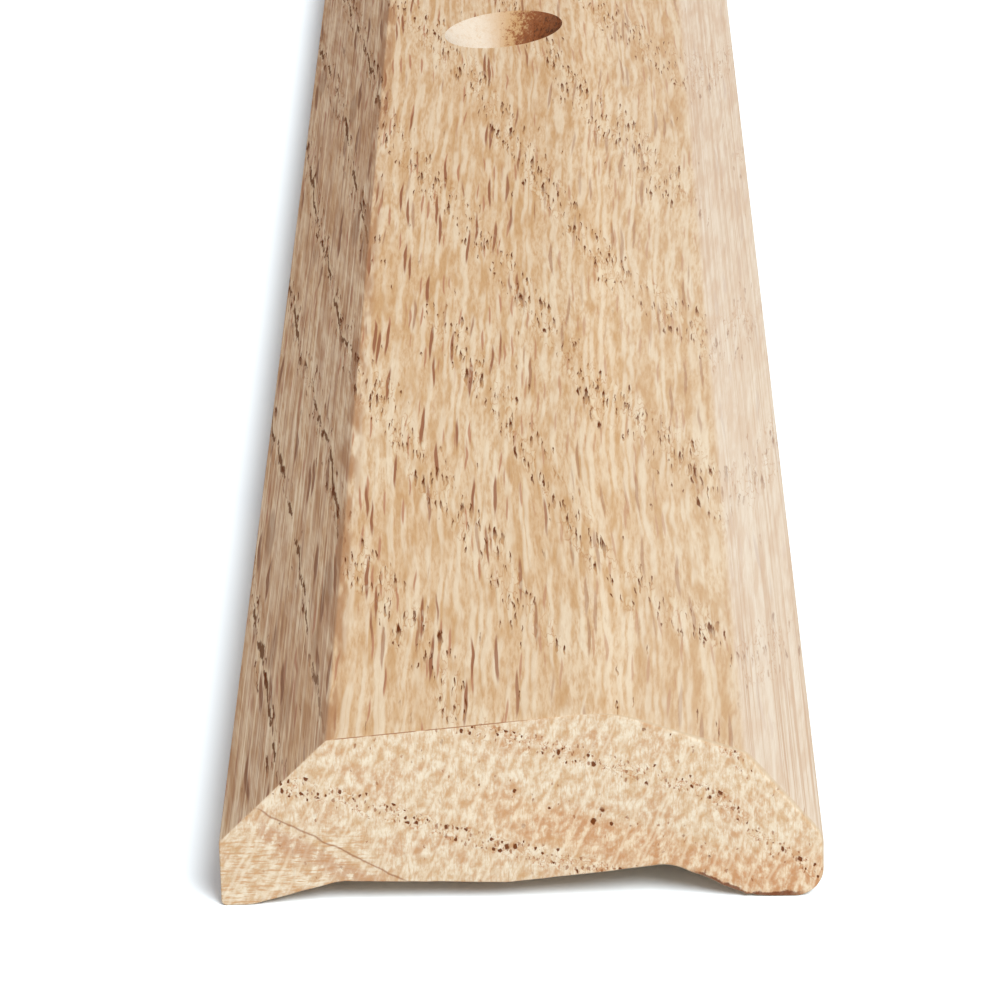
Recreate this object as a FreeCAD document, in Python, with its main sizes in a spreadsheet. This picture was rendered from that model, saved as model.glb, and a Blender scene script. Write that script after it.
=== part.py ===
import FreeCAD, Part
import Sketcher
import os

# Solid oak threshold strip: one planed moulding with pre-drilled, countersunk screw holes.
# Frame: the strip's length runs along Y and its width along X, and its feet stand on Z = 0.
# The origin is the middle of the underside. The crisp bevel is on the -X side ("left") and
# the softer, steeper one on the +X side ("right").

DRIVING_SIZES = (
    # alias, millimetres or degrees, what it is
    ("strip_length", 914.4, "overall length"),
    ("strip_width", 44.45, "overall width"),
    ("left_edge_height", 5.2, "upright edge on the left, up to the bevel"),
    ("left_bevel_angle", 45, "left bevel, from the horizontal"),
    ("left_crease_height", 13.35, "where the left bevel meets the top"),
    ("ridge_offset", 6.8, "ridge of the top, to the right of the middle"),
    ("ridge_height", 15.25, "where the top's two slopes meet, before the ridge is rounded"),
    ("right_crease_height", 11.8, "where the top meets the right bevel"),
    ("right_bevel_angle", 50.5, "right bevel, from the horizontal"),
    ("right_edge_height", 5, "upright edge on the right, up to the bevel"),
    ("left_foot_width", 2.2, "flat of the left foot"),
    ("left_ramp_width", 6.6, "slope from the left foot up into the relief"),
    ("left_relief_height", 1.8, "relief above the floor at the left ramp"),
    ("middle_relief_offset", -1, "shallowest place of the relief, from the middle"),
    ("middle_relief_height", 1.5, "relief above the floor at its shallowest place"),
    ("right_foot_width", 5.4, "flat of the right foot, with its rounded nose"),
    ("right_ramp_width", 5.8, "slope from the right foot up into the relief"),
    ("right_relief_height", 2.75, "relief above the floor at the right ramp"),
    ("crisp_radius", 0.4, "rounding of the left foot, left edge and left crease"),
    ("ridge_radius", 10, "rounding of the ridge"),
    ("soft_radius", 2.2, "rounding of the right crease, right edge and right foot"),
    ("relief_radius", 3, "rounding of the relief's corners"),
    ("hole_count", 3, "screw holes in a row along the strip"),
    ("hole_end_inset", 167, "from each end of the strip to its nearest hole"),
    ("hole_offset", -2.5, "row of holes, from the middle of the width"),
    ("shank_diameter", 4.5, "clearance hole for the screw's shank"),
    ("countersink_diameter", 12, "mouth of the countersink, on the holes' axes"),
    ("countersink_angle", 82, "included angle of the countersink"),
)

HALF_WIDTH = "Sizes.strip_width / 2"
LEFT_CREASE_ACROSS = (
    "(Sizes.left_crease_height - Sizes.left_edge_height) / tan(Sizes.left_bevel_angle)"
    f" - {HALF_WIDTH}"
)
RIGHT_CREASE_ACROSS = (
    f"{HALF_WIDTH}"
    " - (Sizes.right_crease_height - Sizes.right_edge_height) / tan(Sizes.right_bevel_angle)"
)

# The corners of the section, clockwise from the left foot: the name, the distance across from
# the middle, the height above the floor (None on the floor) and the radius that rounds it.
SECTION_CORNERS = (
    ("left_foot_outer", f"-{HALF_WIDTH}", None, "crisp_radius"),
    ("left_edge_top", f"-{HALF_WIDTH}", "Sizes.left_edge_height", "crisp_radius"),
    ("left_crease", LEFT_CREASE_ACROSS, "Sizes.left_crease_height", "crisp_radius"),
    ("ridge", "Sizes.ridge_offset", "Sizes.ridge_height", "ridge_radius"),
    ("right_crease", RIGHT_CREASE_ACROSS, "Sizes.right_crease_height", "soft_radius"),
    ("right_edge_top", HALF_WIDTH, "Sizes.right_edge_height", "soft_radius"),
    ("right_foot_outer", HALF_WIDTH, None, "soft_radius"),
    ("right_foot_inner", f"{HALF_WIDTH} - Sizes.right_foot_width", None, "relief_radius"),
    (
        "right_relief",
        f"{HALF_WIDTH} - Sizes.right_foot_width - Sizes.right_ramp_width",
        "Sizes.right_relief_height",
        "relief_radius",
    ),
    (
        "middle_relief",
        "Sizes.middle_relief_offset",
        "Sizes.middle_relief_height",
        "relief_radius",
    ),
    (
        "left_relief",
        f"Sizes.left_foot_width + Sizes.left_ramp_width - {HALF_WIDTH}",
        "Sizes.left_relief_height",
        "relief_radius",
    ),
    ("left_foot_inner", f"Sizes.left_foot_width - {HALF_WIDTH}", None, "relief_radius"),
)

# The holes are drilled from a level plane at the ridge, and the top falls away from the ridge,
# so each cone is carried on up to that plane to be the right size where it meets the top.
DROP_FROM_RIDGE = (
    "(Sizes.ridge_height - Sizes.left_crease_height) * (Sizes.ridge_offset - Sizes.hole_offset)"
    f" / (Sizes.ridge_offset - ({LEFT_CREASE_ACROSS}))"
)
CONE_DIAMETER_AT_RIDGE = (
    "Sizes.countersink_diameter"
    f" + 2 * {DROP_FROM_RIDGE} * tan(Sizes.countersink_angle / 2)"
)

SAME_PLACE = 0.01


def make_sheet(document):
    sheet = document.addObject("Spreadsheet::Sheet", "Sizes")
    for row, (alias, value, meaning) in enumerate(DRIVING_SIZES, start=1):
        sheet.set(f"A{row}", alias)
        sheet.set(f"B{row}", str(value))
        sheet.set(f"C{row}", meaning)
        sheet.setAlias(f"B{row}", alias)
    document.recompute()
    return sheet


def corner_place(sheet, across, height):
    """A section corner as x and z in millimetres, worked out from the sheet."""
    return float(sheet.evalExpression(across)), float(sheet.evalExpression(height or "0"))


def new_sketch(body, name, plane_role):
    sketch = body.newObject("Sketcher::SketchObject", name)
    plane = next(item for item in body.Origin.OriginFeatures if item.Role == plane_role)
    sketch.AttachmentSupport = [(plane, "")]
    sketch.MapMode = "FlatFace"
    return sketch


def hold_distance(sketch, kind, geometry, place, value, name, expression):
    """Holds a point of the sketch at a signed distance from its origin, read from the sheet."""
    constraint = sketch.addConstraint(Sketcher.Constraint(kind, -1, 1, geometry, place, value))
    sketch.renameConstraint(constraint, name)
    sketch.setExpression(f"Constraints.{name}", expression)


def section_sketch(body, sheet):
    """The closed outline of the section, each corner held by its two distances."""
    sketch = new_sketch(body, "Section", "XZ_Plane")
    places = [corner_place(sheet, across, height) for _, across, height, _ in SECTION_CORNERS]
    points = [FreeCAD.Vector(x, z, 0) for x, z in places]
    for start, end in zip(points, points[1:] + points[:1]):
        sketch.addGeometry(Part.LineSegment(start, end), False)
    for line in range(len(points)):
        following = (line + 1) % len(points)
        sketch.addConstraint(Sketcher.Constraint("Coincident", line, 2, following, 1))
    for line, (name, across, height, _) in enumerate(SECTION_CORNERS):
        x, z = places[line]
        hold_distance(sketch, "DistanceX", line, 1, x, f"{name}_across", across)
        if height is None:
            sketch.addConstraint(Sketcher.Constraint("PointOnObject", line, 1, -1))
        else:
            hold_distance(sketch, "DistanceY", line, 1, z, f"{name}_height", height)
    return sketch


def long_edges(shape, places):
    """Names of the edges that run the length of the strip at the given places."""
    names = []
    for x, z in places:
        for number, edge in enumerate(shape.Edges, start=1):
            ends = [abs(v.X - x) + abs(v.Z - z) for v in edge.Vertexes]
            if len(ends) == 2 and max(ends) < SAME_PLACE:
                names.append(f"Edge{number}")
    if len(names) != len(places):
        raise RuntimeError("a corner of the section has no edge to round")
    return names


def round_corners(document, body, sheet, base):
    """One fillet feature for each radius that the section's corners use."""
    radii = list(dict.fromkeys(radius for _, _, _, radius in SECTION_CORNERS))
    for radius in radii:
        places = [
            corner_place(sheet, across, height)
            for _, across, height, corner_radius in SECTION_CORNERS
            if corner_radius == radius
        ]
        fillet = body.newObject("PartDesign::Fillet", f"Round_{radius}")
        fillet.Base = (base, long_edges(base.Shape, places))
        fillet.setExpression("Radius", f"Sizes.{radius}")
        document.recompute()
        base = fillet
    return base


def screw_holes(document, body, sheet):
    """The first countersunk hole, drilled down through the strip, then the row of them."""
    mouth = new_sketch(body, "FirstHole", "XY_Plane")
    mouth.setExpression(".AttachmentOffset.Base.z", "Sizes.ridge_height")
    x = sheet.hole_offset
    y = sheet.hole_end_inset - sheet.strip_length / 2
    radius = sheet.shank_diameter / 2
    circle = Part.Circle(FreeCAD.Vector(x, y, 0), FreeCAD.Vector(0, 0, 1), radius)
    mouth.addGeometry(circle, False)
    hold_distance(mouth, "DistanceX", 0, 3, x, "hole_across", "Sizes.hole_offset")
    along = "Sizes.hole_end_inset - Sizes.strip_length / 2"
    hold_distance(mouth, "DistanceY", 0, 3, y, "hole_along", along)
    size = mouth.addConstraint(Sketcher.Constraint("Diameter", 0, sheet.shank_diameter))
    mouth.renameConstraint(size, "shank")
    mouth.setExpression("Constraints.shank", "Sizes.shank_diameter")
    document.recompute()

    hole = body.newObject("PartDesign::Hole", "CountersunkHole")
    hole.Profile = mouth
    document.recompute()
    hole.Threaded = False
    hole.DepthType = "ThroughAll"
    hole.HoleCutType = "Countersink"
    hole.HoleCutCustomValues = True
    hole.setExpression("Diameter", "Sizes.shank_diameter")
    hole.setExpression("HoleCutDiameter", CONE_DIAMETER_AT_RIDGE)
    hole.setExpression("HoleCutCountersinkAngle", "Sizes.countersink_angle")
    document.recompute()

    row = body.newObject("PartDesign::LinearPattern", "HoleRow")
    row.Originals = [hole]
    row.Direction = (mouth, ["V_Axis"])
    row.setExpression("Length", "Sizes.strip_length - 2 * Sizes.hole_end_inset")
    row.setExpression("Occurrences", "Sizes.hole_count")
    body.Tip = row
    document.recompute()
    return hole, row


def make_oak_strip(document, sheet):
    body = document.addObject("PartDesign::Body", "OakStrip")
    body.Label = "oak_strip"
    section = section_sketch(body, sheet)
    blank = body.newObject("PartDesign::Pad", "Blank")
    blank.Profile = section
    blank.SideType = "Symmetric"
    blank.setExpression("Length", "Sizes.strip_length")
    document.recompute()
    rounded = round_corners(document, body, sheet, blank)
    hole, row = screw_holes(document, body, sheet)
    volume_of_one_hole = rounded.Shape.Volume - hole.Shape.Volume
    volume_of_all_holes = rounded.Shape.Volume - row.Shape.Volume
    if volume_of_one_hole <= 0:
        raise RuntimeError("the first screw hole cut nothing")
    if abs(volume_of_all_holes / volume_of_one_hole - sheet.hole_count) > SAME_PLACE:
        raise RuntimeError("the row of screw holes is not whole")
    return body


def check_document(document, bodies):
    for item in document.Objects:
        if "Invalid" in item.State or "Error" in item.State:
            raise RuntimeError(f"{item.Name} failed: {item.State}")
    for body in bodies:
        if body.Shape.isNull() or not body.Shape.isValid():
            raise RuntimeError(f"{body.Label} has no valid shape")


def main():
    document = FreeCAD.newDocument("ThresholdStrip")
    sheet = make_sheet(document)
    bodies = [make_oak_strip(document, sheet)]
    document.recompute()
    check_document(document, bodies)
    os.makedirs("parts", exist_ok=True)
    for body in bodies:
        body.Shape.exportStep(f"parts/{body.Label}.step")
        box = body.Shape.BoundBox
        print(f"{body.Label}: {box.XLength:.2f} x {box.YLength:.2f} x {box.ZLength:.2f} mm")


main()
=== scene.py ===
import math
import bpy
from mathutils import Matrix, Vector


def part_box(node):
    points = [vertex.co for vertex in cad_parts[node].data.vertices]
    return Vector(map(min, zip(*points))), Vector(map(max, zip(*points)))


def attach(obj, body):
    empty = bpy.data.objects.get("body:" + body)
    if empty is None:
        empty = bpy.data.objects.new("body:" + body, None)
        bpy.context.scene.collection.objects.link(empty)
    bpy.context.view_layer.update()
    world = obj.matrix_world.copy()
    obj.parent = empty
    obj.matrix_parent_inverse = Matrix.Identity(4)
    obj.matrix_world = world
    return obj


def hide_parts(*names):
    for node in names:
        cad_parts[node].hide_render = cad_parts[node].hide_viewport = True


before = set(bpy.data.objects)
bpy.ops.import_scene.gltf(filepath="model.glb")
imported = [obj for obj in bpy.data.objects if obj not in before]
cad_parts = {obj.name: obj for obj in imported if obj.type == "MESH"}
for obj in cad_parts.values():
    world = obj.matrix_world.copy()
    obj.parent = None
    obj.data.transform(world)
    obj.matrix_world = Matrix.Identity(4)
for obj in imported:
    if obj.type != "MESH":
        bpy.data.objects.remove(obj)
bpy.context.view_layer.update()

from types import SimpleNamespace

import bmesh
import bpy
from mathutils import Matrix, Vector, noise

# Solid oak threshold strip. Lengths in this script are millimetres, in the CAD's frame: the
# length runs along Y, the feet stand on Z = 0, and METRES turns them into Blender's metres.
METRES = 0.001

# ---------------------------------------------------------------- section and length

NODE = "oak_strip"
LOW, HIGH = (tuple(value / METRES for value in corner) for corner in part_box(NODE))
NEAR_END = LOW[1]
FAR_END = HIGH[1]
LEFT_SIDE = LOW[0]
RIGHT_SIDE = HIGH[0]

# Radii that round the section's corners.
CRISP = 0.4
SOFT = 2.2
RIDGE_ROUNDING = 10.0
RELIEF_ROUNDING = 3.0

# Corners of the section as across and height.
LEFT_CREASE = (-14.075, 13.35)
RIDGE = (6.8, 15.25)
RIGHT_CREASE = (16.62, 11.8)
LEFT_FOOT_INNER = LEFT_SIDE + 2.2
RIGHT_FOOT_INNER = RIGHT_SIDE - 5.4
RIGHT_RELIEF = (RIGHT_FOOT_INNER - 5.8, 2.75)
MIDDLE_RELIEF = (-1.0, 1.5)
LEFT_RELIEF = (LEFT_FOOT_INNER + 6.6, 1.8)

# The section, clockwise from the left foot: across, height and rounding radius.
SECTION = (
    (LEFT_SIDE, 0.0, CRISP),
    (LEFT_SIDE, 5.2, CRISP),
    (*LEFT_CREASE, CRISP),
    (*RIDGE, RIDGE_ROUNDING),
    (*RIGHT_CREASE, SOFT),
    (RIGHT_SIDE, 5.0, SOFT),
    (RIGHT_SIDE, 0.0, SOFT),
    (RIGHT_FOOT_INNER, 0.0, RELIEF_ROUNDING),
    (*RIGHT_RELIEF, RELIEF_ROUNDING),
    (*MIDDLE_RELIEF, RELIEF_ROUNDING),
    (*LEFT_RELIEF, RELIEF_ROUNDING),
    (LEFT_FOOT_INNER, 0.0, RELIEF_ROUNDING),
)

# The screw holes: one halfway along and one each way from it, all in one row.
HOLE_ACROSS = -2.5
HOLE_PITCH = 290.2
HOLES_ALONG = (-HOLE_PITCH, 0.0, HOLE_PITCH)
SHANK_RADIUS = 2.25
MOUTH_RADIUS = 6.0
COUNTERSINK_ANGLE = math.radians(82)
CONE_SLOPE = math.tan(COUNTERSINK_ANGLE / 2)

# ---------------------------------------------------------------- mesh of the strip

FLAT_STEP = 0.9
LONG_STEP = 3.0
ARC_STEP = math.radians(6)
FEWEST_ARC_STEPS = 3
END_STEPS = 6
SHARP_ANGLE = math.radians(24)


def arc_points(before, corner, after, radius):
    """Points of the fillet that rounds one corner of a section."""
    towards_before = (before - corner).normalized()
    towards_after = (after - corner).normalized()
    opening = towards_before.angle(towards_after)
    reach = radius / math.tan(opening / 2)
    centre_way = (towards_before + towards_after).normalized()
    centre = corner + centre_way * (radius / math.sin(opening / 2))
    start = corner + towards_before * reach - centre
    end = corner + towards_after * reach - centre
    turn = (math.pi - opening) * math.copysign(1, start.cross(end))
    steps = max(FEWEST_ARC_STEPS, math.ceil(abs(turn) / ARC_STEP))
    return [centre + Matrix.Rotation(turn * k / steps, 2) @ start for k in range(steps + 1)]


def divided(start, end):
    """Points between two others, no more than a flat step apart, without the two."""
    count = math.ceil((end - start).length / FLAT_STEP)
    return [start.lerp(end, k / count) for k in range(1, count)]


def section_points():
    """The rounded section as one closed run of points, clockwise, with its flats divided."""
    corners = [Vector((x, z)) for x, z, _ in SECTION]
    points = []
    for k, (_, _, radius) in enumerate(SECTION):
        arc = arc_points(corners[k - 1], corners[k], corners[(k + 1) % len(corners)], radius)
        if points:
            points += divided(points[-1], arc[0])
        points += arc
    return points + divided(points[-1], points[0])


def outward(points):
    """The outward direction at each point of a clockwise outline."""
    ways = []
    for k, _ in enumerate(points):
        along = points[(k + 1) % len(points)] - points[k - 1]
        ways.append(Vector((-along.y, along.x)).normalized())
    return ways


def ramp(value, low, high):
    """0 below low, 1 above high, smooth between."""
    share = min(max((value - low) / (high - low), 0), 1)
    return share * share * (3 - 2 * share)


# The sawn end's edge is nearly sharp, and worn by an uneven amount on the right.
SHARP_EDGE = 0.13
WEAR = 0.22
WEAR_VARIES = 0.2


def edge_radius(point):
    """Radius of the sawn end's edge, by place on the section."""
    x, z = point
    worn = ramp(x, 6, 11) * ramp(z, 0.5, 4)
    rough = noise.noise(Vector((x * 0.9, z * 0.9, 7.7)))
    return SHARP_EDGE + (WEAR + WEAR_VARIES * rough) * worn


# The saw lifted splinters along the underside of the near end's right foot. The lift fades out
# over TORN_REACH, and the skin has a ring of points at each of TORN_DEPTHS to carry it.
TORN_REACH = 1.6
TORN_DEPTHS = (1.4, 1.2, 1.0, 0.85)
TORN_LIFT = 0.14
TORN_ROUGHNESS = 0.3
FUZZ_LIFT = 0.12


def torn_lift(point):
    """How far the saw lifted the lower edge of the end, by place on the section."""
    x, z = point
    place = ramp(x, 12.4, 14.2) * (1 - ramp(x, 16.5, 20.0)) * (1 - ramp(z, 2.0, 2.6))
    rough = noise.fractal(Vector((x * 1.6, 4.2, 0)), 1.0, 2.0, 4)
    fuzz = noise.noise(Vector((x * 2.3, 9.1, 0))) * (1 - ramp(z, 2.2, 3.0)) * ramp(z, 0.05, 0.4)
    lift = place * (TORN_LIFT + TORN_ROUGHNESS * rough) + FUZZ_LIFT * max(fuzz, 0)
    return max(lift, 0)


def end_point(place, lift, end, end_side, depth):
    """A point of the section set at a depth from an end, with its share of the torn lift."""
    return (place.x, end - end_side * depth, place.y + lift * (1 - depth / TORN_REACH))


def end_rings(points, ways, end, end_side):
    """Rings from the skin, round the sawn edge and onto the end face, as (x, y, z) points."""
    lifts = [torn_lift(point) if end_side < 0 else 0 for point in points]
    rings = []
    for depth in TORN_DEPTHS:
        ring = []
        for point, lift in zip(points, lifts):
            ring.append(end_point(point, lift, end, end_side, depth))
        rings.append(ring)
    for step in range(END_STEPS + 1):
        turn = math.pi / 2 * step / END_STEPS
        ring = []
        for point, way, lift in zip(points, ways, lifts):
            radius = edge_radius(point)
            inset = radius * (1 - math.cos(turn))
            depth = radius * (1 - math.sin(turn))
            ring.append(end_point(point - way * inset, lift, end, end_side, depth))
        rings.append(ring)
    return rings


def strip_rings():
    """Rings of points from the near end face to the far one."""
    points = section_points()
    ways = outward(points)
    near = end_rings(points, ways, NEAR_END, -1)
    far = end_rings(points, ways, FAR_END, 1)
    first = NEAR_END + TORN_REACH
    last = FAR_END - TORN_REACH
    count = math.ceil((last - first) / LONG_STEP)
    middle = []
    for k in range(count + 1):
        y = first + (last - first) * k / count
        middle.append([(point.x, y, point.y) for point in points])
    return near[::-1] + middle + far


def ring_mesh(name, rings):
    """A closed mesh from rings of points in millimetres, with a face over each end."""
    build = bmesh.new()
    verts = [[build.verts.new(Vector(place) * METRES) for place in ring] for ring in rings]
    for one, two in zip(verts, verts[1:]):
        for k, _ in enumerate(one):
            build.faces.new((one[k - 1], one[k], two[k], two[k - 1]))
    build.faces.new(verts[0])
    build.faces.new(verts[-1][::-1])
    bmesh.ops.recalc_face_normals(build, faces=build.faces)
    mesh = bpy.data.meshes.new(name)
    build.to_mesh(mesh)
    build.free()
    return mesh


DRILL_SIDES = 96
DRILL_ABOVE = 4.0
DRILL_BELOW = 3.0


def drill_at(y):
    """A countersinking drill: the shank's cylinder with the cone above it."""
    top_slope = (RIDGE[1] - LEFT_CREASE[1]) / (RIDGE[0] - LEFT_CREASE[0])
    mouth_height = LEFT_CREASE[1] + top_slope * (HOLE_ACROSS - LEFT_CREASE[0])
    profile = (
        (SHANK_RADIUS, -DRILL_BELOW),
        (SHANK_RADIUS, mouth_height - (MOUTH_RADIUS - SHANK_RADIUS) / CONE_SLOPE),
        (MOUTH_RADIUS + DRILL_ABOVE * CONE_SLOPE, mouth_height + DRILL_ABOVE),
    )
    turns = [2 * math.pi * k / DRILL_SIDES for k in range(DRILL_SIDES)]
    rings = []
    for radius, z in profile:
        ring = []
        for turn in turns:
            ring.append((HOLE_ACROSS + radius * math.cos(turn), y + radius * math.sin(turn), z))
        rings.append(ring)
    return bpy.data.objects.new("drill", ring_mesh("drill", rings))


def drill_holes(strip):
    """Cuts the row of holes and keeps the result as the strip's own mesh."""
    drills = [drill_at(y) for y in HOLES_ALONG]
    for drill in drills:
        bpy.context.scene.collection.objects.link(drill)
        cut = strip.modifiers.new("hole", "BOOLEAN")
        cut.operation = "DIFFERENCE"
        cut.solver = "EXACT"
        cut.object = drill
    bpy.context.view_layer.update()
    graph = bpy.context.evaluated_depsgraph_get()
    cut_mesh = bpy.data.meshes.new_from_object(strip.evaluated_get(graph))
    strip.modifiers.clear()
    strip.data = cut_mesh
    for drill in drills:
        bpy.data.meshes.remove(drill.data)


def make_strip():
    """The drilled moulding, in the place of the CAD's node."""
    strip = bpy.data.objects.new("oak_moulding", ring_mesh("oak_blank", strip_rings()))
    bpy.context.scene.collection.objects.link(strip)
    drill_holes(strip)
    strip.data.name = "oak_moulding"
    strip.data.shade_smooth()
    strip.data.set_sharp_from_angle(angle=SHARP_ANGLE)
    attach(strip, "root")
    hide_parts(NODE)
    return strip


# ---------------------------------------------------------------- node formulas


class Field:
    """An output of a shader node, with arithmetic that adds Math nodes."""

    def __init__(self, tree, socket):
        self.tree = tree
        self.socket = socket

    def math(self, operation, *others):
        node = self.tree.nodes.new("ShaderNodeMath")
        node.operation = operation
        for socket, value in zip(node.inputs, (self, *others)):
            feed(self.tree, socket, value)
        return Field(self.tree, node.outputs[0])

    def __add__(self, other):
        return self.math("ADD", other)

    def __sub__(self, other):
        return self.math("SUBTRACT", other)

    def __rsub__(self, other):
        return self.math("MULTIPLY_ADD", -1.0, other)

    def __mul__(self, other):
        return self.math("MULTIPLY", other)

    def __truediv__(self, other):
        return self.math("DIVIDE", other)

    def most(self, other):
        return self.math("MAXIMUM", other)

    def size(self):
        return self.math("ABSOLUTE")

    def rise(self, low, high):
        """0 at low, 1 at high, smooth between; low may be the larger."""
        node = self.tree.nodes.new("ShaderNodeMapRange")
        node.interpolation_type = "SMOOTHSTEP"
        feed(self.tree, node.inputs["Value"], self)
        feed(self.tree, node.inputs["From Min"], low)
        feed(self.tree, node.inputs["From Max"], high)
        return Field(self.tree, node.outputs["Result"])


def feed(tree, socket, value):
    """Links a field to a socket, or sets the socket to a plain value."""
    if isinstance(value, Field):
        tree.links.new(value.socket, socket)
    else:
        socket.default_value = value


def join(tree, x, y, z=0.0):
    """A vector from its three parts."""
    node = tree.nodes.new("ShaderNodeCombineXYZ")
    for socket, value in zip(node.inputs, (x, y, z)):
        feed(tree, socket, value)
    return Field(tree, node.outputs[0])


def split(tree, vector):
    """The three parts of a vector, or the three channels of a colour."""
    node = tree.nodes.new("ShaderNodeSeparateXYZ")
    feed(tree, node.inputs[0], vector)
    return [Field(tree, output) for output in node.outputs]


def mottle(tree, vector, detail=2.0, roughness=0.5, output="Fac"):
    """Smooth noise about 0.5, with features about one unit of the vector apart."""
    node = tree.nodes.new("ShaderNodeTexNoise")
    feed(tree, node.inputs["Vector"], vector)
    node.inputs["Scale"].default_value = 1.0
    node.inputs["Detail"].default_value = detail
    node.inputs["Roughness"].default_value = roughness
    return Field(tree, node.outputs[output])


def cells(tree, place, dimensions="3D", randomness=1.0):
    """Voronoi cells one unit of the place apart: distance, colour and centre, by name."""
    node = tree.nodes.new("ShaderNodeTexVoronoi")
    node.voronoi_dimensions = dimensions
    feed(tree, node.inputs["W" if dimensions == "1D" else "Vector"], place)
    node.inputs["Scale"].default_value = 1.0
    node.inputs["Randomness"].default_value = randomness
    return {output.name: Field(tree, output) for output in node.outputs}


def blend(tree, share, below, above, mode="MIX"):
    """Colours mixed by a share from 0, below, to 1, above."""
    node = tree.nodes.new("ShaderNodeMix")
    node.data_type = "RGBA"
    node.blend_type = mode
    node.clamp_factor = True
    feed(tree, node.inputs[0], share)
    feed(tree, node.inputs[6], below)
    feed(tree, node.inputs[7], above)
    return Field(tree, node.outputs[2])


def layered(tree, colour, *layers):
    """A colour with others laid over it in turn, each by its share."""
    for share, over in layers:
        colour = blend(tree, share, colour, over)
    return colour


def tinted(tree, colour, share, tint):
    """A colour multiplied by a tint, by a share of it."""
    return blend(tree, share, colour, (*tint, 1.0), "MULTIPLY")


# How much brighter than its own colour the studio light makes a level surface.
STUDIO_LIGHT = 1.43


def tone(red, green, blue):
    """The surface colour that looks like these 0-255 values under the studio light."""
    linear = []
    for value in (red, green, blue):
        share = value / 255
        light = share / 12.92 if share < 0.04045 else ((share + 0.055) / 1.055) ** 2.4
        linear.append(light / STUDIO_LIGHT)
    return (*linear, 1.0)


# ---------------------------------------------------------------- oak: the log

# The log's rings and fibres run through the strip in three dimensions. The fibres dip away
# from the near end, and the rings cross the section at a slant that grows to the right.
# A field is in millimetres or is a share from 0 to 1, and the numbers that multiply a place
# inside a noise are features to a millimetre.
FIBRE_DIP = 0.126
RING_SLANT = math.radians(22)
RING_LIFT = 0.94
RING_TILT = 0.40
RING_CURVE = 0.0045
RING_WIDTH = 4.25
FIRST_RING = 3.7
RAY_SPACING = 1.7


def straight(tree, wood, across, along):
    """A place in the strip, scaled to so many features to a millimetre."""
    return join(tree, wood.x * across, wood.along * along, wood.z * across)


def grain(tree, wood, across, along, detail=2.0, roughness=0.5, output="Fac"):
    """Noise stretched along the fibres, with so many features to a millimetre."""
    vector = join(tree, wood.across * across, wood.along * along, wood.deep * across)
    return mottle(tree, vector, detail, roughness, output)


def strip_place(tree, wood):
    """Where a point is in the strip, and which of its surfaces it is on."""
    coordinates = tree.nodes.new("ShaderNodeTexCoord")
    place = Field(tree, coordinates.outputs["Object"])
    wood.x, wood.y, wood.z = (value * (1 / METRES) for value in split(tree, place))
    wood.along = wood.y - NEAR_END
    wood.near_end = wood.along.rise(1.0, 0.5)

    normal = Field(tree, coordinates.outputs["Normal"])
    wood.normal_x, normal_y, wood.normal_z = split(tree, normal)
    wood.facing_end = normal_y.size()
    wood.end_grain = wood.facing_end.rise(0.35, 0.75)
    wood.left_bevel = wood.normal_x.rise(-0.25, -0.6)
    wood.right_bevel = wood.normal_x.rise(0.25, 0.65)

    # A hole's wall is near its axis and faces neither straight up nor down.
    hole_number = (wood.y * (1 / HOLE_PITCH)).math("ROUND")
    off_across = wood.x - HOLE_ACROSS
    off_along = wood.y - hole_number * HOLE_PITCH
    from_axis = (off_across * off_across + off_along * off_along).math("SQRT")
    near_axis = from_axis.rise(MOUTH_RADIUS + 1.0, MOUTH_RADIUS + 0.8)
    wood.in_hole = near_axis * wood.normal_z.rise(0.985, 0.95) * wood.normal_z.rise(-0.9, -0.5)


def log_place(tree, wood):
    """Where a point is in the log: across and deep stay the same all along one fibre."""
    wander = mottle(tree, straight(tree, wood, 0.02, 0.014), 1.0, 0.5, "Color")
    wander_x, wander_z, _ = split(tree, wander)
    wood.across = wood.x + (wander_x - 0.5) * 3.0
    wood.deep = wood.z + wood.along * FIBRE_DIP + (wander_z - 0.5) * 2.0
    wood.tangent = wood.across * math.cos(RING_SLANT) - wood.deep * math.sin(RING_SLANT)


def only_ring(wood, number):
    """1 in one numbered ring and 0 in the others."""
    return (wood.ring - number).size().rise(0.8, 0.2)


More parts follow.
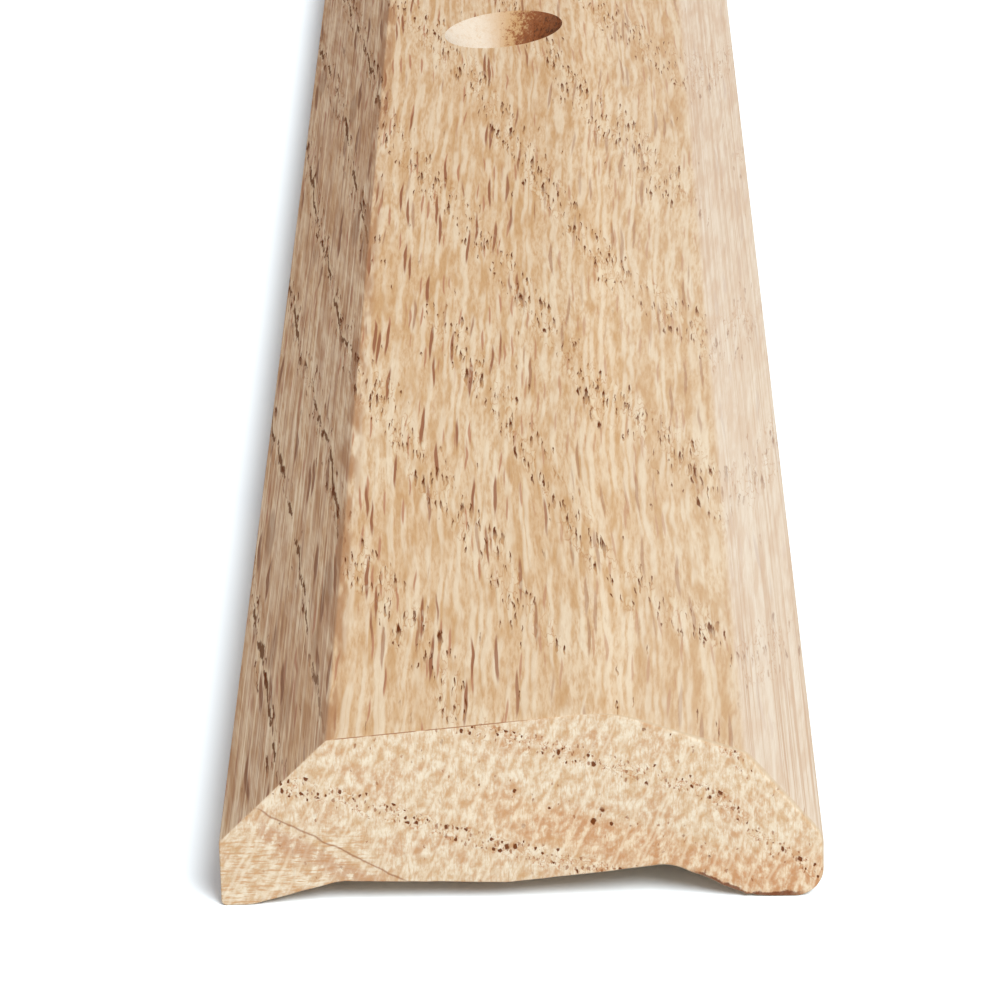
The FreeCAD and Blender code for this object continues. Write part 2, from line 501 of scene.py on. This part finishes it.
def add_rings(tree, wood):
    """Growth is the distance out from the first ring; early is 1 in the crowded early wood."""
    # The rings bow and ripple, less so at the near end, and swell out there on the right.
    bow = mottle(tree, join(tree, wood.across * 0.06, wood.deep * 0.06, wood.along * 0.006), 1.0)
    ripple = grain(tree, wood, 0.35, 0.02)
    calm_end = wood.along.rise(1.0, 25.0) * 0.7 + 0.3
    swell = wood.x.rise(-3.0, 14.0) * wood.x.rise(18.5, 14.5) * wood.along.rise(24.0, 3.0)
    wood.growth = (
        wood.across * RING_TILT
        + wood.across * wood.across * RING_CURVE
        + wood.deep * RING_LIFT
        + ((bow - 0.5) * 1.6 + (ripple - 0.5) * 1.1) * calm_end
        - swell * 2.0
        - FIRST_RING
    )
    turns = wood.growth * (1 / RING_WIDTH)
    wood.ring = turns.math("ROUND")
    wood.off_ring = (turns - wood.ring) * RING_WIDTH

    # Vigour is how full of vessels a year's early wood is. At the near end the first ring out
    # is a poor year, the second a strong one, and the third shows only as one cluster.
    vigour = mottle(tree, join(tree, wood.ring * 3.7, wood.along * 0.012, wood.across * 0.05), 0.0)
    poor_year = (wood.ring - 1.0).size().rise(0.2, 0.8) * 0.85 + 0.15
    at_end = wood.along.rise(20.0, 8.0)
    second = only_ring(wood, 2.0) * at_end
    third = only_ring(wood, 3.0) * at_end
    cluster = wood.x.rise(14.3, 14.9) * wood.x.rise(17.2, 16.6)
    wood.vigour = vigour.rise(0.2, 0.45).most(second * 0.9) * poor_year
    wood.vigour = wood.vigour * (1.0 - third * (1.0 - cluster) * 0.9)
    wood.vigour = wood.vigour * wood.growth.rise(-3.0, -2.0)
    wood.early = wood.off_ring.size().rise(1.15, 0.2) * wood.vigour


# The two sizes of vessel: the distance between tubes, the least radius of one and how much
# wider the widest is, how oval its section is, and a shift that keeps the two sizes apart.
WIDE_VESSELS = SimpleNamespace(spacing=0.64, least=0.07, spread=0.12, oval=1.5, shift=0.0)
NARROW_VESSELS = SimpleNamespace(spacing=0.38, least=0.05, spread=0.05, oval=1.9, shift=7.3)


def vessels(tree, wood, kind):
    """One size of vessel: its draw, the inside and surrounds of a tube, and its deep end, where
    painted shade goes.
    """
    crook = grain(tree, wood, 2.0, 0.5, 2.0, 0.55, "Color")
    crook_x, crook_z, _ = split(tree, crook)
    across = wood.across + (crook_x - 0.5) * 0.45 + kind.shift
    deep = wood.deep * (1 / kind.oval) + (crook_z - 0.5) * 0.2
    grid = join(tree, across * (1 / kind.spacing), deep * (1 / kind.spacing))
    tubes = cells(tree, grid, dimensions="2D", randomness=0.95)
    draw, size, _ = split(tree, tubes["Color"])
    centre_across, centre_deep, _ = split(tree, tubes["Position"])
    radius = size * size * kind.spread + kind.least
    reach = tubes["Distance"] * kind.spacing / radius

    # How far the skin is above the tube's axis, in radii: a cut tube gets painted shade where it
    # dives.
    off_across = across - centre_across * kind.spacing
    off_deep = deep - centre_deep * kind.spacing
    sunk_shade = (off_across * wood.normal_x + off_deep * wood.normal_z) / radius
    return SimpleNamespace(
        draw=draw,
        inside=reach.rise(1.2, 0.7),
        near=reach.rise(2.6, 1.1),
        sunk_shade=sunk_shade.rise(-0.5, 0.6).most(wood.end_grain * 0.95),
    )


def add_pores(tree, wood):
    """Pits and dashes where vessels are cut open, dark with painted shade where they dive, and the
    curled tissue between them.
    """
    # A vessel is open where its draw is under the chance that its place gives it.
    solid = 1.0 - wood.in_hole
    bunch = grain(tree, wood, 0.42, 0.05, 1.0).rise(0.38, 0.56) * 0.75 + 0.25
    crowd = wood.left_bevel + 1.0

    wide = vessels(tree, wood, WIDE_VESSELS)
    open_wide = (wood.early * bunch * crowd * 0.75).most(0.004) - wide.draw
    open_wide = open_wide.rise(-0.02, 0.02) * solid
    wide_cut = wide.inside * open_wide
    wide_pit = wide_cut * wide.sunk_shade
    wood.pit = wide_pit * (1.0 - wood.right_bevel * 0.55)
    wood.rim = wide.near * open_wide

    narrow = vessels(tree, wood, NARROW_VESSELS)
    open_narrow = (wood.early * crowd * 0.9).most(0.02) - narrow.draw
    open_narrow = open_narrow.rise(-0.02, 0.02) * solid
    narrow_cut = narrow.inside * open_narrow * (1.0 - wood.right_bevel * 0.3)
    wood.dash = narrow_cut * narrow.sunk_shade
    wood.groove = (wide_cut - wide_pit).most((narrow_cut - wood.dash) * 0.8)

    tuft = grain(tree, wood, 0.8, 0.11).rise(0.44, 0.58) * wood.early.rise(0.1, 0.6) * solid
    curl = grain(tree, wood, 2.7, 0.36, 1.0)
    wood.scribble = (curl - 0.5).size().rise(0.03, 0.006) * tuft
    wood.crumb = curl.rise(0.52, 0.66) * tuft


def spindles(tree, wood, across, along, deep, chance):
    """Ends of rays on the skin: slim spindles along the fibres, so many millimetres apart."""
    place = join(tree, wood.tangent * 0.4, wood.along * 0.09, wood.growth * 0.2)
    bent = wood.across + mottle(tree, place) - 0.5
    grid = join(tree, bent * (1 / across), wood.along * (1 / along), wood.deep * (1 / deep))
    found = cells(tree, grid)
    draw, _, _ = split(tree, found["Color"])
    return found["Distance"].rise(0.27, 0.16) * draw.rise(1.0 - chance, 1.15 - chance)


def add_grain(tree, wood):
    """Rays, pale wavy lines of soft tissue along the grain, and the fine fibres themselves."""
    wood.fleck = spindles(tree, wood, across=0.68, along=20.0, deep=7.0, chance=0.85)
    wood.thin_fleck = spindles(tree, wood, across=0.5, along=13.0, deep=4.0, chance=0.85)
    wood.broad_fleck = spindles(tree, wood, across=1.9, along=24.0, deep=9.0, chance=0.6)
    sway = grain(tree, wood, 0.45, 0.05, 2.0, 0.55) - 0.5
    lines = cells(tree, wood.across * 1.15 + sway * 2.2, dimensions="1D", randomness=0.8)
    wood.fade = grain(tree, wood, 0.9, 0.09)
    pale_line = lines["Distance"].rise(0.38, 0.10) * wood.fade.rise(0.34, 0.58)
    wood.pale_line = pale_line * (1.0 - wood.left_bevel * 0.6)
    wood.fibre = grain(tree, wood, 4.5, 0.16, 3.0, 0.6)
    wood.streak = grain(tree, wood, 1.1, 0.05, 2.0, 0.6)
    wood.patch = grain(tree, wood, 0.14, 0.022)
    wood.planed = mottle(tree, straight(tree, wood, 2.6, 0.012), 4.0, 0.7)
    wood.hair = mottle(tree, straight(tree, wood, 4.6, 0.045), 3.0, 0.65)


def add_slits(tree, wood):
    """Slits in the left bevel, where its early wood has split along the rings, dark with painted
    shade and with a painted highlight on their rims.
    """
    cleft = mottle(tree, straight(tree, wood, 0.9, 0.05), 2.0, 0.6) - 0.5
    bead = mottle(tree, straight(tree, wood, 3.0, 0.7)) - 0.5
    gape = mottle(tree, join(tree, wood.x * 1.1, wood.along * 0.10, wood.ring * 2.9))
    off_slit = (wood.off_ring + cleft * 1.4 + bead * 0.3).size()
    split_open = (gape + bead * 0.45).rise(0.47, 0.52) * wood.vigour.rise(0.05, 0.15)
    split_open = split_open * wood.left_bevel
    wood.slit = off_slit.rise(0.15, 0.07) * split_open
    wood.slit_rim = off_slit.rise(0.5, 0.2) * gape.rise(0.42, 0.5) * split_open


# ---------------------------------------------------------------- oak: its colours

# Tints against the top left of the ridge at the near end: painted shade that makes the wood darker
# and cooler right of the ridge, painted shade and a redder tint on the left bevel, a painted
# falloff of the light, with a warmer tint, away from the near end, and darker and warmer on the
# sawn ends and in their warm band.
PAINTED_SHADE_RIGHT_OF_RIDGE = (0.935, 0.947, 0.96)
PAINTED_SHADE_AND_RED_ON_LEFT_BEVEL = (0.975, 0.935, 0.935)
PAINTED_FALLOFF_AWAY_FROM_END = (0.94, 0.915, 0.90)
ON_SAWN_END = (0.88, 0.87, 0.855)
IN_WARM_BAND = (1.0, 0.94, 0.88)


def planed_top(tree, wood):
    """Colour of the planed wood, as it is on the top."""
    left = wood.x.rise(5.0, -4.0) * 0.5 + 0.5
    skin = blend(tree, wood.patch.rise(0.35, 0.65), tone(224, 191, 153), tone(233, 207, 174))
    skin = layered(
        tree,
        skin,
        (wood.streak.rise(0.42, 0.68) * 0.75, tone(205, 161, 112)),
        (wood.fibre.rise(0.38, 0.7) * 0.65, tone(200, 154, 107)),
        (wood.pale_line * 0.6, tone(242, 224, 197)),
        (wood.thin_fleck * (left * 0.7 + 0.15), tone(188, 132, 100)),
        (wood.fleck * left * 0.95, tone(156, 100, 70)),
        (wood.crumb * 0.4, tone(244, 226, 194)),
        (wood.rim * 0.25, tone(243, 222, 190)),
        (wood.groove * 0.8, tone(188, 138, 90)),
        (wood.scribble * 0.55, tone(178, 120, 72)),
        # Painted shade in the deep ends of the narrow vessels.
        (wood.dash * 0.95, tone(112, 58, 20)),
    )
    # Painted shade darkens the wood right of the ridge.
    return tinted(tree, skin, wood.x.rise(5.5, 9.5), PAINTED_SHADE_RIGHT_OF_RIDGE)


def on_right_bevel(tree, wood, skin):
    """The right bevel is paler and plainer than the top, and planed in straight lines."""
    bevel = wood.right_bevel
    planed = wood.planed.rise(0.47, 0.62) * (wood.along.rise(45.0, 5.0) * 0.35 + 0.4)
    return layered(
        tree,
        skin,
        (bevel * 0.65, tone(226, 212, 196)),
        (bevel * planed, tone(194, 158, 126)),
        (bevel * wood.streak.rise(0.45, 0.65) * 0.3, tone(206, 172, 142)),
        (bevel * wood.dash * 0.5, tone(176, 128, 86)),
        (bevel * wood.scribble * 0.4, tone(190, 146, 106)),
    )


def on_left_bevel(tree, wood, skin):
    """The left bevel is streaked and hairy, with slits, and darker from painted shade."""
    bevel = wood.left_bevel
    skin = layered(
        tree,
        skin,
        (bevel * wood.planed.rise(0.35, 0.7) * 0.6, tone(184, 140, 108)),
        (bevel * wood.streak.rise(0.45, 0.3) * 0.3, tone(246, 222, 188)),
        (bevel * wood.streak.rise(0.5, 0.68) * 0.45, tone(176, 130, 94)),
        (bevel * wood.hair.rise(0.5, 0.3) * 0.75, tone(252, 232, 200)),
        (bevel * wood.hair.rise(0.52, 0.7) * 0.65, tone(162, 117, 86)),
        (bevel * wood.broad_fleck * 0.5, tone(152, 110, 78)),
        (bevel * wood.fleck * 0.6, tone(140, 98, 68)),
    )
    # Painted shade darkens the left bevel, and the same tint makes it redder.
    return layered(
        tree,
        tinted(tree, skin, bevel, PAINTED_SHADE_AND_RED_ON_LEFT_BEVEL),
        # A painted highlight on the slits' rims, and painted shade inside the slits.
        (wood.slit_rim * 0.35, tone(244, 218, 182)),
        (wood.slit * 0.9, tone(108, 62, 30)),
    )


def side_grain(tree, wood):
    """Colour of the planed skin: the top, the bevels and a brown strip along the crease between
    them.
    """
    skin = on_left_bevel(tree, wood, on_right_bevel(tree, wood, planed_top(tree, wood)))
    crease = LEFT_CREASE[0]
    crease_strip = wood.x.rise(crease + 1.3, crease + 0.2) * wood.x.rise(crease - 1.125, crease - 0.225)
    skin = blend(tree, crease_strip * wood.streak.rise(0.35, 0.6) * 0.7, skin, tone(176, 128, 92))
    # A painted falloff of the light darkens the side grain away from the near end, with a warmer
    # tint.
    return tinted(tree, skin, wood.along.rise(60.0, 180.0), PAINTED_FALLOFF_AWAY_FROM_END)


def add_end_grain(tree, wood):
    """Soft blotches in columns between rays, marks of the saw, and a warmer band."""
    bend = mottle(tree, join(tree, wood.tangent * 0.4, wood.growth * 0.2, 4.0)) - 0.5
    column = wood.tangent + bend * 0.9
    rays = cells(tree, column * (1 / RAY_SPACING), dimensions="1D")
    wood.end_ray = rays["Distance"].rise(0.10, 0.01)
    wood.blotch = mottle(tree, join(tree, column * 1.5, wood.growth * 0.95, 1.0), 3.0, 0.62)

    # The saw marked the end upright, and level low on the left.
    upright = mottle(tree, join(tree, wood.x * 5.5, wood.along * 0.2, wood.z * 1.1), 3.0, 0.7)
    level = mottle(tree, join(tree, wood.x * 0.8, wood.along * 0.2, wood.z * 5.5), 2.0, 0.6)
    low_left = wood.z.rise(7.5, 4.5) * wood.x.rise(-9.0, -13.0)
    marks = upright + (level - upright) * low_left
    wood.saw_mark = marks.rise(0.46, 0.64) * (low_left * 0.25 + 0.55)

    # The band follows the rings from the middle to the right, and fills the right foot.
    band = wood.growth.rise(0.2, 1.6) * wood.growth.rise(5.0, 3.4) * wood.x.rise(-8.0, 4.0)
    wood.warm_band = band.most(wood.z.rise(5.0, 2.0) * wood.x.rise(2.0, 7.0))


def plain_end(tree, wood):
    """End grain as tan blotches on pale wood, warmer here and there and in the warm band."""
    warm = mottle(tree, join(tree, wood.x * 0.35, wood.z * 0.35, 3.0))
    warmth = (warm.rise(0.45, 0.68) * 0.45).most(wood.warm_band * warm.rise(0.25, 0.5) * 0.65)
    end = blend(tree, wood.blotch.rise(0.3, 0.74), tone(246, 231, 207), tone(212, 173, 130))
    return layered(
        tree,
        end,
        (warmth * wood.blotch.rise(0.36, 0.64), tone(200, 144, 104)),
        (wood.saw_mark, tone(208, 160, 114)),
        (wood.end_ray * 0.5, tone(244, 226, 200)),
        (wood.crumb * 0.7, tone(246, 230, 204)),
        (wood.scribble * 0.7, tone(190, 128, 88)),
        (wood.dash * 0.7, tone(150, 90, 50)),
    )


# A ring boundary shows as a fine dark line low on the left of the near end. It starts at the
# left bevel, at this place across and height, and falls so far for each millimetre across.
BOUNDARY_START = (-19.0, 7.7)
BOUNDARY_FALL = 0.571


def ring_boundary(tree, wood, end):
    """The near end's ring boundary, with darker wood below it."""
    start_across, start_height = BOUNDARY_START
    waver = mottle(tree, join(tree, wood.x * 0.8, wood.z * 0.8)) - 0.5
    line = start_height - (wood.x - start_across) * BOUNDARY_FALL + waver * 0.5
    below = line - wood.z
    reach = wood.x.rise(-19.6, -18.8) * wood.x.rise(-8.0, -9.0) * wood.near_end
    dark_wood = below.rise(0.4, 1.2) * below.rise(3.2, 1.8) * wood.blotch.rise(0.35, 0.5)
    return layered(
        tree,
        end,
        (dark_wood * reach * 0.5, tone(196, 144, 108)),
        (below.size().rise(0.13, 0.03) * reach * 0.65, tone(156, 104, 72)),
    )


def torn_foot(tree, wood, end):
    """The torn lower edge of the near end's right foot, as a ragged dark line."""
    foot_slope = RIGHT_RELIEF[1] / (RIGHT_FOOT_INNER - RIGHT_RELIEF[0])
    edge_height = ((RIGHT_FOOT_INNER - wood.x) * foot_slope).most(0.0)
    tear = mottle(tree, join(tree, wood.x * 1.8, wood.z * 1.2, 5.0), 3.0, 0.6)
    line = (wood.z - edge_height - tear * 0.8).rise(0.08, -0.08)
    line = line * wood.x.rise(12.2, 13.4) * wood.x.rise(21.4, 19.6) * wood.near_end
    return blend(tree, line * 0.85, end, tone(112, 58, 36))


def sawn_end(tree, wood):
    """Colour of the sawn ends."""
    end = torn_foot(tree, wood, ring_boundary(tree, wood, plain_end(tree, wood)))
    end = tinted(tree, end, wood.warm_band, IN_WARM_BAND)
    return tinted(tree, end, 1.0, ON_SAWN_END)


def drilled_wall_lit_and_shaded(tree, wood):
    """Colour in a countersink, with painted light and shade: pale from painted light on the left
    wall, which faces the key, and dark and crumbly on the right, from painted shade mixed with
    scorch.
    """
    crumbs = mottle(tree, join(tree, wood.x * 2.2, wood.y * 2.2, wood.z * 2.2), 5.0, 0.8)
    # Painted shade mixed with scorch on the walls that face away from the key.
    scorch_and_shade = (wood.normal_x + (crumbs - 0.5) * 1.9).rise(-0.15, -0.45)
    dark_scorch_and_shade = (wood.normal_x + (crumbs - 0.5) * 2.4).rise(-0.6, -1.0)
    # Painted light and shade by the way the wall faces: pale facing right, towards the key, darker
    # facing left.
    wall = blend(tree, wood.normal_x.rise(-0.3, 0.4), tone(206, 162, 110), tone(226, 212, 194))
    return layered(
        tree,
        wall,
        (crumbs.rise(0.45, 0.7) * 0.5, tone(206, 172, 134)),
        (scorch_and_shade, tone(146, 80, 42)),
        (dark_scorch_and_shade, tone(76, 36, 18)),
    )


def arris_line_and_rim_shade(wood):
    """The sawn edge shows as a fine brown line along the top's left; on its right it is a pale
    greyish tan, painted shade that dulls the highlight of its rounding.
    """
    arris = wood.facing_end.rise(0.08, 0.4) * wood.facing_end.rise(0.95, 0.7) * wood.near_end
    on_top_left = wood.x.rise(3.0, -2.0) * wood.x.rise(-15.0, -13.0)
    return (
        (arris * on_top_left * wood.fade.rise(0.2, 0.5) * 0.8, tone(146, 98, 66)),
        # Painted shade on the right of the edge, which dulls the highlight of its rounding.
        (arris * wood.x.rise(2.0, 7.0) * 0.7, tone(194, 172, 144)),
    )


def relief_height(wood):
    """Height of the wood's fine relief, in millimetres."""
    return (
        wood.pale_line * 0.010
        + wood.fibre * 0.030
        + wood.crumb * 0.015
        - wood.fleck * 0.012
        - wood.hollow * 0.015
        - wood.pit * 0.01
    )


def oak_material():
    """Matt sanded oak, coloured all through the log."""
    material = bpy.data.materials.new("oak_sanded")
    material.use_nodes = True
    tree = material.node_tree
    shader = tree.nodes["Principled BSDF"]

    wood = SimpleNamespace()
    strip_place(tree, wood)
    log_place(tree, wood)
    add_rings(tree, wood)
    add_pores(tree, wood)
    add_grain(tree, wood)
    add_slits(tree, wood)
    add_end_grain(tree, wood)
    wood.hollow = (wood.pit + wood.groove).most(wood.dash * 0.6).most(wood.slit)

    colour = blend(tree, wood.end_grain, side_grain(tree, wood), sawn_end(tree, wood))
    colour = layered(
        tree,
        colour,
        # Painted shade in the deep ends of the wide vessels.
        (wood.pit, tone(106, 50, 14)),
        (wood.in_hole * 0.92, drilled_wall_lit_and_shaded(tree, wood)),
        *arris_line_and_rim_shade(wood),
    )
    feed(tree, shader.inputs["Base Color"], colour)

    roughness = 0.66 - wood.pale_line * 0.06 + wood.hollow * 0.2 + (wood.fibre - 0.5) * 0.12
    feed(tree, shader.inputs["Roughness"], roughness)
    shader.inputs["Specular IOR Level"].default_value = 0.03

    bump = tree.nodes.new("ShaderNodeBump")
    bump.inputs["Strength"].default_value = 1.0
    bump.inputs["Distance"].default_value = METRES
    feed(tree, bump.inputs["Height"], relief_height(wood))
    tree.links.new(bump.outputs["Normal"], shader.inputs["Normal"])
    return material


# ---------------------------------------------------------------- floor, light and camera

# The floor is a cool white, against the warm light that the wood throws on it. It lies a hair
# below the feet, so that the two don't share a plane.
FLOOR_HALF_SIDE = 6000
FLOOR_DROP = 0.02
FLOOR_WHITE = (0.90, 0.955, 1.0, 1)


def make_floor():
    """A plain floor far wider than the view."""
    build = bmesh.new()
    bmesh.ops.create_grid(build, x_segments=2, y_segments=2, size=FLOOR_HALF_SIDE * METRES)
    mesh = bpy.data.meshes.new("studio_floor")
    build.to_mesh(mesh)
    build.free()
    floor = bpy.data.objects.new("studio_floor", mesh)
    floor.location.z = -FLOOR_DROP * METRES
    bpy.context.scene.collection.objects.link(floor)
    paint = bpy.data.materials.new("studio_white")
    paint.use_nodes = True
    shader = paint.node_tree.nodes["Principled BSDF"]
    shader.inputs["Base Color"].default_value = FLOOR_WHITE
    shader.inputs["Roughness"].default_value = 0.9
    shader.inputs["Specular IOR Level"].default_value = 0.0
    mesh.materials.append(paint)


# A broad soft key from above the near right, and an even fill from all round.
KEY_FROM = Vector((0.42, -0.60, 0.80))
KEY_SOFTNESS = math.radians(34)
KEY_STRENGTH = 4.18
KEY_COLOUR = (0.955, 0.99, 1.0)
FILL_STRENGTH = 0.56
FILL_COLOUR = (1.01, 1.0, 1.0, 1)


def make_lights():
    """The key, the fill and plain colour management."""
    key = bpy.data.lights.new("key", "SUN")
    key.energy = KEY_STRENGTH
    key.color = KEY_COLOUR
    key.angle = KEY_SOFTNESS
    lamp = bpy.data.objects.new("key", key)
    lamp.rotation_euler = KEY_FROM.to_track_quat("Z", "Y").to_euler()
    bpy.context.scene.collection.objects.link(lamp)

    world = bpy.context.scene.world or bpy.data.worlds.new("studio")
    bpy.context.scene.world = world
    world.use_nodes = True
    sky = world.node_tree.nodes["Background"]
    sky.inputs["Color"].default_value = FILL_COLOUR
    sky.inputs["Strength"].default_value = FILL_STRENGTH
    bpy.context.scene.view_settings.view_transform = "Standard"


# The camera stands before the near end and above it, and looks down along the strip.
CAMERA_SPOT = (4.26, NEAR_END - 340.89, 174.76)
CAMERA_PITCH = math.radians(22.711)
CAMERA_YAW = math.radians(-0.877)
CAMERA_ROLL = math.radians(1.361)
SENSOR_WIDTH = 36
FOCAL_LENGTH = 186.38
NEAREST_SEEN = 10


def camera_turn():
    """The camera's axes as a matrix, from its pitch, yaw and roll."""
    level = math.cos(CAMERA_PITCH)
    ahead = Vector(
        (math.sin(CAMERA_YAW) * level, math.cos(CAMERA_YAW) * level, -math.sin(CAMERA_PITCH))
    )
    level_right = Vector((math.cos(CAMERA_YAW), -math.sin(CAMERA_YAW), 0))
    level_up = level_right.cross(ahead)
    right = level_right * math.cos(CAMERA_ROLL) - level_up * math.sin(CAMERA_ROLL)
    up = level_right * math.sin(CAMERA_ROLL) + level_up * math.cos(CAMERA_ROLL)
    return Matrix((right, up, -ahead)).transposed()


def make_camera():
    """A long lens on the camera's spot."""
    lens = bpy.data.cameras.new("camera")
    lens.sensor_width = SENSOR_WIDTH
    lens.lens = FOCAL_LENGTH
    lens.clip_start = NEAREST_SEEN * METRES
    camera = bpy.data.objects.new("camera", lens)
    spot = Vector(CAMERA_SPOT) * METRES
    camera.matrix_world = Matrix.Translation(spot) @ camera_turn().to_4x4()
    bpy.context.scene.collection.objects.link(camera)
    bpy.context.scene.camera = camera


strip = make_strip()
strip.data.materials.clear()
strip.data.materials.append(oak_material())
make_floor()
make_lights()
make_camera()
